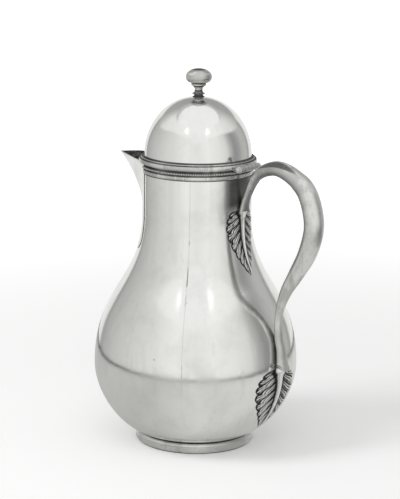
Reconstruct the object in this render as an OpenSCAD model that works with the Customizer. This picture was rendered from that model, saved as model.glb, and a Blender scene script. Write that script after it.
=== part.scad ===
// Silver chocolate pot: a raised pear-shaped body on a ring foot, a V-shaped beak,
// a looped cast handle with acanthus leaves, and a domed lid hinged above the handle.
// Millimetres. +Z is up, the handle points to +X and the beak to -X.
// The origin is the middle of the circle that the foot stands on.

/* [Body] */
// Radius of the belly at its widest
belly_r = 70.3; // [60:0.1:80]
// Height of the widest line of the belly
belly_z = 55; // [48:0.5:62]
// Radius of the neck
neck_r = 37.2; // [34.5:0.1:39.5]
// Height at which the neck becomes straight
waist_z = 160.7; // [152:0.1:168]
// Height of the rim, where the lid sits
rim_z = 196.5; // [190:0.5:204]
// Radius of the flat bottom, above the foot
bottom_r = 39; // [35:0.5:43]
// Thickness of the silver of the body
wall = 1; // [0.8:0.1:1.6]

/* [Foot] */
// Height of the foot ring
foot_h = 7.5; // [5:0.5:10]
// Radius of the foot where it stands
foot_r = 40.4; // [37.5:0.1:44]
// How far the foot bulges out above its lower edge
foot_bulge = 0.9; // [0.3:0.1:1.5]
// Thickness of the foot's wall
foot_wall = 2.4; // [1.6:0.1:3]

/* [Rim] */
// Height of the plain band round the neck
band_h = 3; // [2:0.1:4]
// How far the band stands out from the neck
band_t = 1.2; // [0.8:0.1:1.6]
// Diameter of the beaded wire above the band
wire_d = 1.5; // [1:0.1:1.8]
// Height of the plain step between the wire and the lid
step_h = 2.1; // [1.5:0.1:3]

/* [Spout] */
// Distance from the pot's axis to where the beak's two sides would meet at the tip
beak_reach = 69.3; // [62:0.1:72]
// Height of the lowest edge of the beak's sheet
beak_z = 136; // [128:1:146]
// Half of the angle of neck that the beak covers
beak_angle = 51; // [46:1:54]
// Thickness of the beak's sheet
beak_t = 0.9; // [0.7:0.1:1.3]
// Thickness of that sheet at its thin soldered edges
beak_edge_t = 0.35; // [0.25:0.05:0.6]
// How sharply the keel hooks out towards the tip
beak_curve = 4; // [2:0.5:5]
// Share of the reach that the hook makes; the rest grows evenly
beak_hook = 0.38; // [0.2:0.02:0.6]
// Width of the opening in the neck behind the beak
port_w = 42; // [34:1:46]
// Height of that opening
port_h = 38; // [30:1:42]

/* [Handle] */
// Distance from the pot's axis to the middle of the grip
grip_x = 95.8; // [88:0.5:102]
// Height of the middle of the grip
grip_z = 164.5; // [158:0.5:170]
// Thickness of the grip, away from the pot
grip_t = 13.6; // [11:0.1:15]
// Width of the grip, across the pot
grip_w = 14.2; // [12:0.1:16]
// Height of the handle's highest place
loop_top_z = 204; // [200:0.5:206]
// Thickness of the stems where they are thinnest
stem_t = 5.4; // [4.6:0.1:6.4]

/* [Leaves] */
// Length of the upper leaf, down the neck
upper_leaf_l = 44; // [36:1:48]
// Width of the upper leaf
upper_leaf_w = 26; // [20:1:30]
// Length of the lower leaf, down the belly
lower_leaf_l = 44; // [36:1:46]
// Width of the lower leaf
lower_leaf_w = 42; // [34:1:46]
// How far a leaf's rib stands out from the pot
leaf_rise = 3; // [2:0.1:3.6]
// Height of the hood above the lower leaf
leaf_collar_h = 4.4; // [3:0.2:6]

/* [Lid] */
// Radius of the lid's flange
flange_r = 40.3; // [39.8:0.1:40.5]
// Thickness of the flange at its edge
flange_t = 2.8; // [2.4:0.1:3.4]
// Radius of the dome at its foot
dome_r = 36.8; // [35.6:0.1:37.6]
// Height of the dome
dome_h = 40.2; // [34:0.2:44]
// Thickness of the silver of the dome
dome_wall = 0.9; // [0.7:0.1:1.2]
// Depth of the bezel that drops into the neck
bezel_h = 5.5; // [4:0.5:7]
// Gap between the bezel and the neck
bezel_gap = 0.65; // [0.5:0.05:0.9]

/* [Hinge] */
// Distance from the pot's axis to the hinge pin
hinge_x = 42; // [41.6:0.1:42.6]
// Radius of the knuckles
knuckle_r = 2.3; // [2.1:0.1:2.5]
// Diameter of the hinge pin
pin_d = 2; // [1.8:0.1:2.2]
// Clearance round the pin in the lid's knuckles
pin_gap = 0.05; // [0.02:0.01:0.09]
// Length of the row of knuckles
hinge_l = 20.4; // [18:0.2:22]
// Gap between neighbouring knuckles
knuckle_gap = 0.3; // [0.2:0.05:0.4]
// Length of the cut ornament at each end of the pin
cap_l = 3.4; // [2:0.2:5]

/* [Finial] */
// Radius of the knob
knob_r = 9; // [7.5:0.1:10]
// Height of the knob
knob_h = 9.8; // [8:0.1:11]
// Height of the turned stem below the knob
stem_h = 8.9; // [7.5:0.1:10]
// Radius of the base ring on the dome
base_r = 4.1; // [3.6:0.1:4.8]
// Diameter of the stud that holds the finial on
stud_d = 2.6; // [2:0.1:3]

/* [Hidden] */
$fn = 96;
silver = [0.79, 0.79, 0.77];
dark_silver = [0.62, 0.62, 0.61];
fit = 0.02;        // faces that are soldered together stay this far apart
leaf_fit = 0.1;    // the same, under a chased leaf
curve_n = 18;      // points along one curve of an outline

function mix(a, b, t) = a + (b - a) * t;
function bez(p, t) = pow(1 - t, 3) * p[0] + 3 * pow(1 - t, 2) * t * p[1]
    + 3 * (1 - t) * t * t * p[2] + pow(t, 3) * p[3];
function curve(p, n = curve_n, from = 0) = [for (i = [from:n]) bez(p, i / n)];

// The body's outline is two curves that meet upright at the belly, and a straight neck.
bowl_pull = 0.72 * belly_z - 21;
shoulder_pull = (waist_z - belly_z) / 2;
function bowl(in) = [
    [bottom_r - in, foot_h + in],
    [bottom_r + 16.5 - in / 2, foot_h + 6.1 + in],
    [belly_r - in, belly_z - bowl_pull],
    [belly_r - in, belly_z]];
function shoulder(in) = [
    [belly_r - in, belly_z],
    [belly_r - in, belly_z + shoulder_pull],
    [neck_r - in, waist_z - 0.895 * shoulder_pull],
    [neck_r - in, waist_z]];

// Radius of the body's outside at height z, found by halving.
function at_z(p, z, a = 0, b = 1, k = 22) = let(m = (a + b) / 2)
    k == 0 ? bez(p, m)[0]
    : bez(p, m)[1] < z ? at_z(p, z, m, b, k - 1) : at_z(p, z, a, m, k - 1);
function body_r(z) = z >= waist_z ? neck_r
    : z >= belly_z ? at_z(shoulder(0), z) : at_z(bowl(0), z);

wire_z = rim_z - step_h - wire_d / 2;
band_z = wire_z - wire_d / 2 - 0.5 - band_h;
step_r = neck_r + 0.8;
band_r = neck_r + band_t;
wire_r = step_r + 0.35 * wire_d;
flange_z = rim_z + flange_t;
dome_z = rim_z + flange_t + 1.3;
dome_top = dome_z + dome_h;
bezel_r = neck_r - wall - bezel_gap;
knuckle_w = (hinge_l - 4 * knuckle_gap) / 5;
knuckle_pitch = knuckle_w + knuckle_gap;
stem_end_z = 167;
leaf_collar_z = 66;
washer_drop = 1.15;    // the washer's lower face below the crown's inside

// One leg of a spline through hand-set stations.
function spline(p, i, t) = let(
    a = p[max(i - 1, 0)], b = p[i], c = p[i + 1], d = p[min(i + 2, len(p) - 1)])
    0.5 * (2 * b + (c - a) * t + (2 * a - 5 * b + 4 * c - d) * t * t
    + (3 * b - a - 3 * c + d) * pow(t, 3));
function smooth(p, n) = concat(
    [for (i = [0:len(p) - 2], k = [0:n - 1]) spline(p, i, k / n)], [p[len(p) - 1]]);
function unit(v) = v / norm(v);

// A closed solid through rings of points, each with the same even number of points.
// The two end faces are strips between the ring's first half and its second.
module loft(rings) {
    n = len(rings[0]);
    m = len(rings);
    last = (m - 1) * n;
    polyhedron(
        points = [for (r = rings, p = r) p],
        faces = concat(
            [for (j = [0:n / 2 - 2]) each [[j, j + 1, n - 2 - j], [j, n - 2 - j, n - 1 - j]]],
            [for (i = [0:m - 2], j = [0:n - 1]) let(k = (j + 1) % n)
                each [[i * n + j, (i + 1) * n + j, (i + 1) * n + k],
                    [i * n + j, (i + 1) * n + k, i * n + k]]],
            [for (j = [0:n / 2 - 2]) each [[last + n - 2 - j, last + j + 1, last + j],
                [last + n - 1 - j, last + n - 2 - j, last + j]]]));
}

// A bar in the plane of the handle. Each station is [x, z, thickness, width].
function bar_ring(s, dir, n) = [for (j = [0:n - 1])
    let(a = 360 * j / n, u = s[2] / 2 * cos(a), v = s[3] / 2 * sin(a))
    [s[0] - dir[1] * u, v, s[1] + dir[0] * u]];
module bar(path, n = 28) {
    m = len(path) - 1;
    loft([for (i = [0:m])
        let(a = path[max(i - 1, 0)], b = path[min(i + 1, m)])
        bar_ring(path[i], i == 0 || i == m ? [0, sign(b[1] - a[1])]
            : unit([b[0] - a[0], b[1] - a[1]]), n)]);
}

// Stations of the handle, from the neck over the loop and down to the belly.
function on_body(z, t) = body_r(z) + leaf_fit + t / 2;
handle = [
    [on_body(stem_end_z, 4.6), stem_end_z, 4.6, 10],
    [on_body(176, stem_t) + 1.1, 176, stem_t, 6.6],
    [49.6, 192.2, 7.6, 8],
    [64.6, loop_top_z - 5.2, 10.4, 13.6],
    [grip_x - 16.8, loop_top_z - 9.3, grip_t - 1.4, grip_w],
    [grip_x - 5.4, grip_z + 19.8, grip_t - 0.2, grip_w],
    [grip_x, grip_z, grip_t, grip_w],
    [grip_x - 4.4, grip_z - 19.2, grip_t - 0.8, grip_w - 0.8],
    [grip_x - 13.6, grip_z - 36, grip_t - 3.2, grip_w - 3],
    [74.6, 115.5, 8, 8.6],
    [69.8, 101, stem_t + 0.2, 5.8],
    [on_body(84, stem_t) + 0.55, 84, stem_t, 6.6],
    [on_body(75, stem_t + 0.3) + 0.3, 75, stem_t + 0.3, 8],
    [on_body(leaf_collar_z, 6.2), leaf_collar_z, 6.2, 11.2]];

module body_shell() {
    outer = concat([[0, foot_h]], curve(bowl(0)), curve(shoulder(0), from = 1),
        [[neck_r, rim_z]]);
    inner = concat([[0, foot_h + wall]], curve(bowl(wall)), curve(shoulder(wall), from = 1),
        [[neck_r - wall, rim_z]]);
    color(silver)
    difference() {
        rotate_extrude()
            polygon(concat(outer, [for (i = [len(inner) - 1:-1:0]) inner[i]]));
        port();
    }
}

// The opening in the neck behind the beak, with round corners.
module port() {
    corner = 9;
    low = beak_z + 11;
    translate([-neck_r - 4, 0, low]) {
        translate([0, -port_w / 2, corner])
            cube([12, port_w, port_h - 2 * corner]);
        translate([0, corner - port_w / 2, 0])
            cube([12, port_w - 2 * corner, port_h]);
        for (y = [-1, 1], z = [corner, port_h - corner])
            translate([0, y * (port_w / 2 - corner), z])
                rotate([0, 90, 0]) cylinder(r = corner, h = 12);
    }
}

module foot_ring() {
    out = foot_r + foot_bulge;
    color(silver)
    rotate_extrude()
        polygon(concat(
            [[foot_r - foot_wall, 0], [foot_r - 0.4, 0]],
            curve([[foot_r - 0.4, 0], [foot_r + 0.5, 0.3], [out, foot_h * 0.3],
                [out, foot_h * 0.5]], 8, 1),
            [[out, foot_h * 0.62], [out - 0.35, foot_h * 0.66]],
            curve([[out - 0.35, foot_h * 0.66], [out - 0.3, foot_h * 0.85],
                [bottom_r + 0.6, foot_h * 0.93], [bottom_r - fit, foot_h - fit]], 8, 1),
            [[foot_r - foot_wall, foot_h - fit]]));
}

// Rings round the neck stop at the beak, on both sides.
module open_ring() {
    gap = beak_angle + 0.4;
    rotate([0, 0, gap - 180])
        rotate_extrude(angle = 360 - 2 * gap)
            children();
}

module rim_band() {
    in = neck_r + fit;
    groove = wire_z - wire_d / 2 - 0.5;
    color(silver)
    open_ring()
        polygon([[in, band_z - 0.6], [in + 0.4, band_z - 0.6], [band_r - 0.3, band_z],
            [band_r, band_z + 0.5], [band_r, groove - 0.6], [band_r - 0.4, groove - 0.1],
            [step_r, groove], [step_r, rim_z - 0.3], [step_r - 0.3, rim_z], [in, rim_z]]);
}

module beaded_wire() {
    color(silver)
    open_ring()
        difference() {
            translate([wire_r, wire_z]) circle(d = wire_d, $fn = 24);
            translate([0, wire_z - wire_d]) square([step_r + fit, 2 * wire_d]);
        }
}

// Plan of the beak at height z: flat sides that leave the neck as tangents. The sheet is
// thin where it lies on the neck and full where it stands free.
function beak_r(z) = body_r(z) + leaf_fit + beak_edge_t;
function keel(z) = let(s = max(0, (z - beak_z) / (rim_z - beak_z)))
    beak_r(z) + 0.2 + (beak_reach - neck_r - leaf_fit - beak_edge_t - 0.2)
        * mix(s, pow(s, beak_curve), beak_hook);
function beak_at(z, a, inner) = let(
    r = beak_r(z),
    touch = acos(r / keel(z)),
    b = sqrt(a * a + 0.6),
    free = max(0, touch - b),
    t = beak_edge_t + (beak_t - beak_edge_t) * pow(min(1, free / 20), 1.5),
    d = (r - (inner ? t : 0)) / cos(free))
    [-d * cos(a), d * sin(a), z];

// The sheet's two lower corners are round.
beak_corner = 7;
function beak_side(z) = let(u = 1 - min(1, (z - beak_z) / beak_corner))
    beak_angle - (1 - sqrt(1 - u * u)) * beak_corner / neck_r * 180 / PI;
module spout() {
    levels = 30;
    n = 26;
    color(silver)
    loft([for (i = [0:levels])
        let(s = i / levels, z = mix(beak_z, rim_z, s * s * (2 - s)), side = beak_side(z))
        concat(
            [for (j = [0:n]) beak_at(z, mix(-side, side, j / n), false)],
            [for (j = [n:-1:0]) beak_at(z, mix(-side, side, j / n), true)])]);
}

module handle_loop() {
    color(silver) bar(smooth(handle, 6));
}

// A leaf lies on the body below height z0: s runs down it from 0 to 1, v across it.
function envelope(s, head, w) = let(t = pow(s, 0.9))
    mix(head / 2, 0, t) + (w / 2 - head / 4) * pow(sin(180 * pow(t, 0.72)), 0.85);
function lobed(s, head, w) = max(0.6, envelope(s, head, w)
    * (0.86 + 0.14 * abs(sin(180 * (4.5 * s + 0.1)))));
function leaf_rise_at(s, v, head_t) =
    (0.9 + (leaf_rise - 0.9) * pow(1 - abs(v), 0.8)) * (1 - 0.45 * s)
    + max(0, head_t - leaf_rise) * pow(max(0, 1 - 5 * s), 2) * (1 - v * v)
    + 0.25 * cos(4 * 360 * v) * sin(180 * s);
module leaf(z0, l, w, head, head_t, nu = 24, nv = 18) {
    color(silver)
    loft([for (i = [0:nu])
        let(s = i / nu, z = z0 - fit - l * s, r = body_r(z) + leaf_fit,
            half = lobed(s, head, w))
        concat(
            [for (j = [0:nv]) let(v = mix(-1, 1, j / nv), a = half * v / r * 180 / PI,
                h = leaf_rise_at(s, v, head_t)) [(r + h) * cos(a), (r + h) * sin(a), z]],
            [for (j = [nv:-1:0]) let(v = mix(-1, 1, j / nv), a = half * v / r * 180 / PI)
                [r * cos(a), r * sin(a), z]])]);
}

module upper_leaf() {
    leaf(stem_end_z, upper_leaf_l, upper_leaf_w, 16, 4.6);
}

module lower_leaf() {
    leaf(leaf_collar_z - leaf_collar_h - fit, lower_leaf_l, lower_leaf_w, 14, 6);
}

// The hood at the foot of the lower stem, from which the lower leaf grows.
module leaf_collar() {
    steps = 12;
    n = 28;
    color(silver)
    loft([for (i = [0:steps])
        let(f = i / steps, z = leaf_collar_z - fit - leaf_collar_h * f,
            t = 6.3 + 1.3 * sin(135 * f), w = 11.4 + 3.4 * sin(110 * f))
        [for (j = [0:n - 1]) [on_body(z, t) + t / 2 * cos(360 * j / n),
            w / 2 * sin(360 * j / n), z]]]);
}

// A hinge knuckle by number, counted from 0 at the -Y end; odd ones belong to the lid.
module knuckle(i, r) {
    translate([hinge_x, i * knuckle_pitch - hinge_l / 2, rim_z])
        rotate([-90, 0, 0]) cylinder(r = r, h = knuckle_w);
}
module hinge_body_plate() {
    strap_h = 1.4;
    color(silver)
    difference() {
        union() for (i = [0, 2, 4]) {
            knuckle(i, knuckle_r);
            translate([neck_r - 1, i * knuckle_pitch - hinge_l / 2, rim_z - 0.1 - strap_h])
                cube([hinge_x - neck_r + 1, knuckle_w, strap_h]);
        }
        translate([hinge_x, -hinge_l, rim_z]) rotate([-90, 0, 0])
            cylinder(d = pin_d + 2 * fit, h = 2 * hinge_l);
        translate([0, 0, rim_z - 10]) cylinder(r = step_r + fit, h = 20);
    }
}

module hinge_lid_plate() {
    strap_z = rim_z + 0.6;
    color(silver)
    difference() {
        union() for (i = [1, 3]) {
            knuckle(i, knuckle_r);
            translate([flange_r - 2, i * knuckle_pitch - hinge_l / 2, strap_z])
                cube([hinge_x - flange_r + 2, knuckle_w, 1.7]);
        }
        translate([hinge_x, -hinge_l, rim_z]) rotate([-90, 0, 0])
            cylinder(d = pin_d + 2 * pin_gap, h = 2 * hinge_l);
        translate([0, 0, rim_z - 10]) cylinder(r = flange_r + fit, h = 20);
    }
}

module hinge_pin() {
    color(dark_silver)
    translate([hinge_x, -hinge_l / 2, rim_z]) rotate([-90, 0, 0])
        cylinder(d = pin_d, h = hinge_l);
}

module hinge_end_caps() {
    color(silver)
    for (side = [-1, 1])
        translate([hinge_x, side * (hinge_l / 2 + fit), rim_z]) rotate([-90 * side, 0, 0])
            rotate_extrude()
                polygon([[0, 0], [knuckle_r, 0], [knuckle_r, 0.5], [knuckle_r * 0.7, 0.9],
                    [knuckle_r * 0.95, cap_l * 0.5], [knuckle_r * 0.6, cap_l * 0.85],
                    [0, cap_l]]);
}

// The lid's flange, cut away round the body's own knuckles.
module lid_flange() {
    in = bezel_r - 1;
    e = flange_r;
    color(silver)
    difference() {
        rotate_extrude()
            polygon([[in, rim_z], [e - 0.4, rim_z], [e, rim_z + 0.5], [e, flange_z - 0.7],
                [e - 0.5, flange_z], [e - 1.7, flange_z + 0.2], [e - 1.9, dome_z - 0.5],
                [dome_r + 0.4, dome_z], [in, dome_z]]);
        for (i = [0, 2, 4])
            translate([hinge_x, i * knuckle_pitch - hinge_l / 2 - knuckle_gap, rim_z])
                rotate([-90, 0, 0])
                    cylinder(r = knuckle_r + 0.5, h = knuckle_w + 2 * knuckle_gap);
        for (side = [-1, 1])
            translate([hinge_x, side * (hinge_l / 2 + cap_l / 2), rim_z])
                rotate([90, 0, 0])
                    cylinder(r = knuckle_r + 0.5, h = cap_l + 1, center = true);
    }
}

module lid_dome() {
    k = 0.56;
    function shell(in) = [
        [dome_r - in, dome_z + fit], [dome_r - in, dome_z + k * dome_h],
        [k * dome_r, dome_top - in], [stud_d / 2 + fit, dome_top - in]];
    inner = curve(shell(dome_wall));
    color(silver)
    rotate_extrude()
        polygon(concat(curve(shell(0)), [for (i = [curve_n:-1:0]) inner[i]]));
}

module lid_bezel() {
    color(silver)
    rotate_extrude()
        polygon([[bezel_r - 0.9, rim_z - bezel_h], [bezel_r - 0.2, rim_z - bezel_h],
            [bezel_r, rim_z - bezel_h + 0.6], [bezel_r, rim_z - fit],
            [bezel_r - 0.9, rim_z - fit]]);
}

module finial_base() {
    z = dome_top - 0.4;
    color(silver)
    difference() {
        translate([0, 0, z - 0.8])
            rotate_extrude()
                polygon([[stud_d / 2 + fit, 0], [base_r - 0.4, 0], [base_r, 0.6],
                    [base_r - 0.1, 1.3], [base_r - 0.7, 1.6], [stud_d / 2 + fit, 1.6]]);
        dome_cut();
    }
}

// What the dome fills, for pieces that sit on its crown.
module dome_cut() {
    k = 0.56;
    crown = curve([[dome_r, dome_z + fit], [dome_r, dome_z + k * dome_h],
        [k * dome_r, dome_top], [stud_d / 2 + fit, dome_top]]);
    translate([0, 0, fit])
        rotate_extrude() polygon(concat([[0, dome_z]], crown, [[0, dome_top]]));
}

// The stem, from the knob down: a roll, a hollow, a thin sharp disc and a short drum.
module finial_stem() {
    z = dome_top + 0.4 + fit;
    h = stem_h - 2 * fit;
    in = stud_d / 2 + fit;
    color(silver)
    rotate_extrude()
        polygon(concat(
            [[in, z], [3.3, z], [3.3, z + 1], [4.2, z + 1.2], [4.7, z + 1.7],
                [4.2, z + 2.2]],
            curve([[3.2, z + 2.5], [2.4, z + 3.4], [2.4, z + 5.6], [4.3, z + h - 2]], 8),
            [[5, z + h - 1.6], [5.2, z + h - 0.8], [4.8, z + h], [in, z + h]]));
}

module finial_knob() {
    z = dome_top + 0.4 + stem_h;
    mid = z + knob_h * 0.42;
    top = z + knob_h;
    color(silver)
    difference() {
        rotate_extrude()
            polygon(concat(
                [[0, z]],
                curve([[4.9, z], [7.6, z + 0.4], [knob_r, mid - 2.2], [knob_r, mid]], 10),
                curve([[knob_r, mid], [knob_r, mid + 3.4], [knob_r * 0.6, top], [0, top]],
                    14, 1)));
        translate([0, 0, z - 1]) cylinder(d = stud_d + 2 * fit, h = 5);
    }
}

module finial_stud() {
    low = dome_top - dome_wall - 4;
    color(dark_silver)
    translate([0, 0, low]) cylinder(d = stud_d, h = dome_top + 0.4 + stem_h + 3.8 - low);
}

module finial_washer() {
    color(dark_silver)
    translate([0, 0, dome_top - dome_wall - washer_drop])
        difference() {
            cylinder(r = 4.6, h = 0.9);
            translate([0, 0, -1]) cylinder(d = stud_d + 2 * fit, h = 3);
        }
}

module finial_nut() {
    color(dark_silver)
    translate([0, 0, dome_top - dome_wall - washer_drop - fit - 2])
        difference() {
            cylinder(r = 3.2, h = 2, $fn = 6);
            translate([0, 0, -1]) cylinder(d = stud_d + 2 * fit, h = 4);
        }
}

body_shell();
foot_ring();
rim_band();
beaded_wire();
spout();
handle_loop();
upper_leaf();
lower_leaf();
leaf_collar();
hinge_body_plate();
hinge_pin();
hinge_end_caps();
lid_flange();
lid_dome();
lid_bezel();
hinge_lid_plate();
finial_base();
finial_stem();
finial_knob();
finial_stud();
finial_washer();
finial_nut();
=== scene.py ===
"""Dresses the silver chocolate pot: raised body, ring foot, beak, cast handle with
acanthus leaves, hinged dome and turned finial, in polished and lightly worn silver."""

import functools
import math

import bmesh
import bpy
import numpy as np
from mathutils import Matrix, Vector


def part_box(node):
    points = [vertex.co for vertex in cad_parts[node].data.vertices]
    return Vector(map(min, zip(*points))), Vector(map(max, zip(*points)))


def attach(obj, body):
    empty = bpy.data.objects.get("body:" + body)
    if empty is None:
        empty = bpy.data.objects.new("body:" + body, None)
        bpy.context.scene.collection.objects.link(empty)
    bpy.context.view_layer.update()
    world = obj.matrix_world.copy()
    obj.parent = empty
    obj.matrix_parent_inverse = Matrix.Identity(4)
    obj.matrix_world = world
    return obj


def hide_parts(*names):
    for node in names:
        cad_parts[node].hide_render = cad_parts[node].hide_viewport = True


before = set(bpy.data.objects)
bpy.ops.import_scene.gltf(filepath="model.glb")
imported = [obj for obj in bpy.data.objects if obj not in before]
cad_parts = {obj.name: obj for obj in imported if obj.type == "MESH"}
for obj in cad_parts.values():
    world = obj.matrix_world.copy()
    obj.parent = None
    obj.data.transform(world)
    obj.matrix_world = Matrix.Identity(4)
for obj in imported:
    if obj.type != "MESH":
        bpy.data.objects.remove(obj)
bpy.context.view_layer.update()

bl_info = {
    "name": "Silver Chocolate Pot",
    "version": (1, 0, 0),
    "blender": (4, 5, 0),
    "location": "View3D > Sidebar > Pot",
    "description": "Builds the pieces and the silver of a hinged-lid chocolate pot",
    "category": "Object",
}

MM = 0.001
BODY, LID = "pot", "lid"
POLE = 0.02 * MM  # nearest that a turned outline comes to the axis
CORE = 0.5 * MM  # radius of the circle that the turning trees sweep along
BORE = 1.32 * MM  # radius of the hole for the finial's stud


def low(node):
    return [float(c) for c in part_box(node)[0]]


def high(node):
    return [float(c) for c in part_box(node)[1]]


def length(label, says, value):
    return bpy.props.FloatProperty(
        name=label, description=says, default=value, unit="LENGTH", precision=5, min=0)


def number(label, says, value, small=0.0, large=1000.0):
    return bpy.props.FloatProperty(
        name=label, description=says, default=value, min=small, max=large)


def angle(label, says, degrees):
    return bpy.props.FloatProperty(
        name=label, description=says, default=math.radians(degrees), subtype="ANGLE")


def count(label, says, value):
    return bpy.props.IntProperty(name=label, description=says, default=value, min=1)


def colour(label, says, value):
    return bpy.props.FloatVectorProperty(
        name=label, description=says, default=value, size=3, subtype="COLOR",
        min=0.0, max=1.0)


class PotSizes(bpy.types.PropertyGroup):
    """Sizes that the pieces share, taken from the frame where it has them."""
    belly_r: length("Belly radius", "Widest radius of the body", high("body_shell")[1])
    belly_z: length("Belly height", "Height of the widest line", 55 * MM)
    neck_r: length("Neck radius", "Radius of the straight neck", 37.2 * MM)
    waist_z: length("Waist height", "Where the neck turns straight", 160.7 * MM)
    rim_z: length("Rim height", "Height of the body's rim", high("body_shell")[2])
    bottom_r: length("Bottom radius", "Radius of the flat bottom", 39 * MM)
    wall: length("Body wall", "Thickness of the raised silver", 1 * MM)
    foot_h: length("Foot height", "Height of the ring foot", low("body_shell")[2])
    foot_r: length("Foot radius", "Radius where the foot stands", 40.4 * MM)
    beak_reach: length("Beak reach", "Axis to where the sides of the beak would meet", 69.3 * MM)
    beak_z: length("Beak bottom", "Lowest edge of the beak", low("spout")[2])
    beak_side: angle("Beak side", "Half of the neck that the beak covers", 51)
    beak_t: length("Beak sheet", "Thickness of the beak's sheet", 0.9 * MM)
    edge_t: length("Beak edge", "Thickness of that sheet where it is soldered", 0.35 * MM)
    bead_pitch: length("Bead pitch", "Spacing of the beads on the wire", 1.15 * MM)
    dome_r: length("Dome radius", "Radius of the lid's dome", high("lid_dome")[1])
    dome_wall: length("Dome wall", "Thickness of the dome", 0.9 * MM)
    flange_r: length("Flange radius", "Radius of the lid's flange", high("lid_flange")[1])
    hinge_x: length("Hinge place", "Axis to the hinge pin", 42 * MM)
    lobes: count("Leaf lobes", "Lobes down one side of a leaf", 6)
    turns: count("Turning steps", "Steps round a turned piece", 224)


class SilverLook(bpy.types.PropertyGroup):
    """Colours and finish of the silver."""
    bright: colour("Bright silver", "Polished metal", (0.87, 0.87, 0.85))
    worn: colour("Worn silver", "Metal with a thin grey film", (0.56, 0.565, 0.545))
    # this black serves the tarnish and also the painted shade, painted shadow and painted
    # reflection marks on the silver
    tarnish_and_shade_black: colour("Tarnish", "Black silver sulphide in hollows", (0.035, 0.037, 0.034))
    roughness: number("Roughness", "Roughness of polished metal", 0.13, 0, 1)
    waves: length("Hammer waves", "Depth of the planished waves", 0.3 * MM)


class StageSettings(bpy.types.PropertyGroup):
    """Camera, lights and floor of the photograph."""
    azimuth: angle("Azimuth", "Camera turn from the pot's front", 36.5)
    pitch: angle("Pitch", "How far the camera looks down", 12.64)
    roll: angle("Roll", "Lean of the frame", 0.68)
    distance: length("Distance", "Camera to the pot's axis, along the floor", 1.3465)
    height: length("Height", "Camera above the floor", 0.4365)
    shift: length("Side step", "Camera to the right of the axis", 0.0022)
    table: length("Table", "Radius of the table that the silver mirrors", 0.42)
    focal: length("Focal length", "Lens on a 36 mm sensor", 144.46 * MM)


# ---------------------------------------------------------------- outlines


def bezier(points, steps, start=0):
    p = np.array(points, float)
    t = np.arange(start, steps + 1)[:, None] / steps
    return ((1 - t) ** 3 * p[0] + 3 * (1 - t) ** 2 * t * p[1]
            + 3 * (1 - t) * t * t * p[2] + t ** 3 * p[3])


def body_curves(sizes, inset=0.0):
    """The bowl and the shoulder, as the body was raised; they meet upright at the belly."""
    s = sizes
    bowl_pull = 0.72 * s.belly_z - 21 * MM
    pull = (s.waist_z - s.belly_z) / 2
    bowl = [(s.bottom_r - inset, s.foot_h + inset),
            (s.bottom_r + 16.5 * MM - inset / 2, s.foot_h + 6.1 * MM + inset),
            (s.belly_r - inset, s.belly_z - bowl_pull), (s.belly_r - inset, s.belly_z)]
    shoulder = [(s.belly_r - inset, s.belly_z), (s.belly_r - inset, s.belly_z + pull),
                (s.neck_r - inset, s.waist_z - 0.895 * pull), (s.neck_r - inset, s.waist_z)]
    return np.concatenate([bezier(bowl, 60), bezier(shoulder, 90, 1),
                           [(s.neck_r - inset, s.rim_z)]])


def body_radius(sizes, z):
    curve = body_curves(sizes)
    return np.interp(z, curve[:, 1], curve[:, 0])


# ---------------------------------------------------------------- meshes


def new_object(name, mesh):
    obj = bpy.data.objects.new(name, mesh)
    bpy.context.scene.collection.objects.link(obj)
    return obj


def evaluated(obj):
    """The mesh that an object's modifiers make."""
    graph = bpy.context.evaluated_depsgraph_get()
    graph.update()
    return bpy.data.meshes.new_from_object(obj.evaluated_get(graph))


def smooth(mesh, sharp=35):
    for face in mesh.polygons:
        face.use_smooth = True
    mesh.set_sharp_from_angle(angle=math.radians(sharp))
    return mesh


def mesh_from(name, points, faces):
    mesh = bpy.data.meshes.new(name)
    mesh.from_pydata([tuple(map(float, p)) for p in points], [], faces)
    mesh.validate()
    return smooth(mesh)


def attribute(mesh, name, values):
    layer = mesh.attributes.new(name, "FLOAT", "POINT")
    layer.data.foreach_set("value", np.asarray(values, np.float32))


def outward(mesh):
    """Merges doubles and turns every face outwards."""
    work = bmesh.new()
    work.from_mesh(mesh)
    bmesh.ops.remove_doubles(work, verts=work.verts, dist=1e-7)
    bmesh.ops.recalc_face_normals(work, faces=work.faces)
    work.to_mesh(mesh)
    work.free()
    return mesh


def loft_faces(rings, around, caps=True):
    faces = [(i * around + j, i * around + (j + 1) % around,
              (i + 1) * around + (j + 1) % around, (i + 1) * around + j)
             for i in range(rings - 1) for j in range(around)]
    if caps:
        faces.append(tuple(range(around - 1, -1, -1)))
        faces.append(tuple((rings - 1) * around + j for j in range(around)))
    return faces


# ---------------------------------------------------------------- geometry trees


def tree_node(tree, kind, values=None, **settings):
    node = tree.nodes.new(kind)
    for key, value in settings.items():
        setattr(node, key, value)
    for key, value in (values or {}).items():
        node.inputs[key].default_value = value
    return node


def new_tree(name, inputs):
    tree = bpy.data.node_groups.new(name, "GeometryNodeTree")
    face = tree.interface
    face.new_socket("Geometry", in_out="INPUT", socket_type="NodeSocketGeometry")
    face.new_socket("Geometry", in_out="OUTPUT", socket_type="NodeSocketGeometry")
    for label, kind, default in inputs:
        socket = face.new_socket(label, in_out="INPUT", socket_type=kind)
        if default is not None:
            socket.default_value = default
    start = tree.nodes.new("NodeGroupInput")
    end = tree.nodes.new("NodeGroupOutput")
    return tree, start, end


def finish_tree(tree, start, end, geometry):
    """Ends a tree in Realize Instances and Set Material."""
    real = tree_node(tree, "GeometryNodeRealizeInstances")
    paint = tree_node(tree, "GeometryNodeSetMaterial")
    tree.links.new(geometry, real.inputs["Geometry"])
    tree.links.new(real.outputs[0], paint.inputs["Geometry"])
    tree.links.new(start.outputs["Material"], paint.inputs["Material"])
    tree.links.new(paint.outputs[0], end.inputs["Geometry"])


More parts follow.
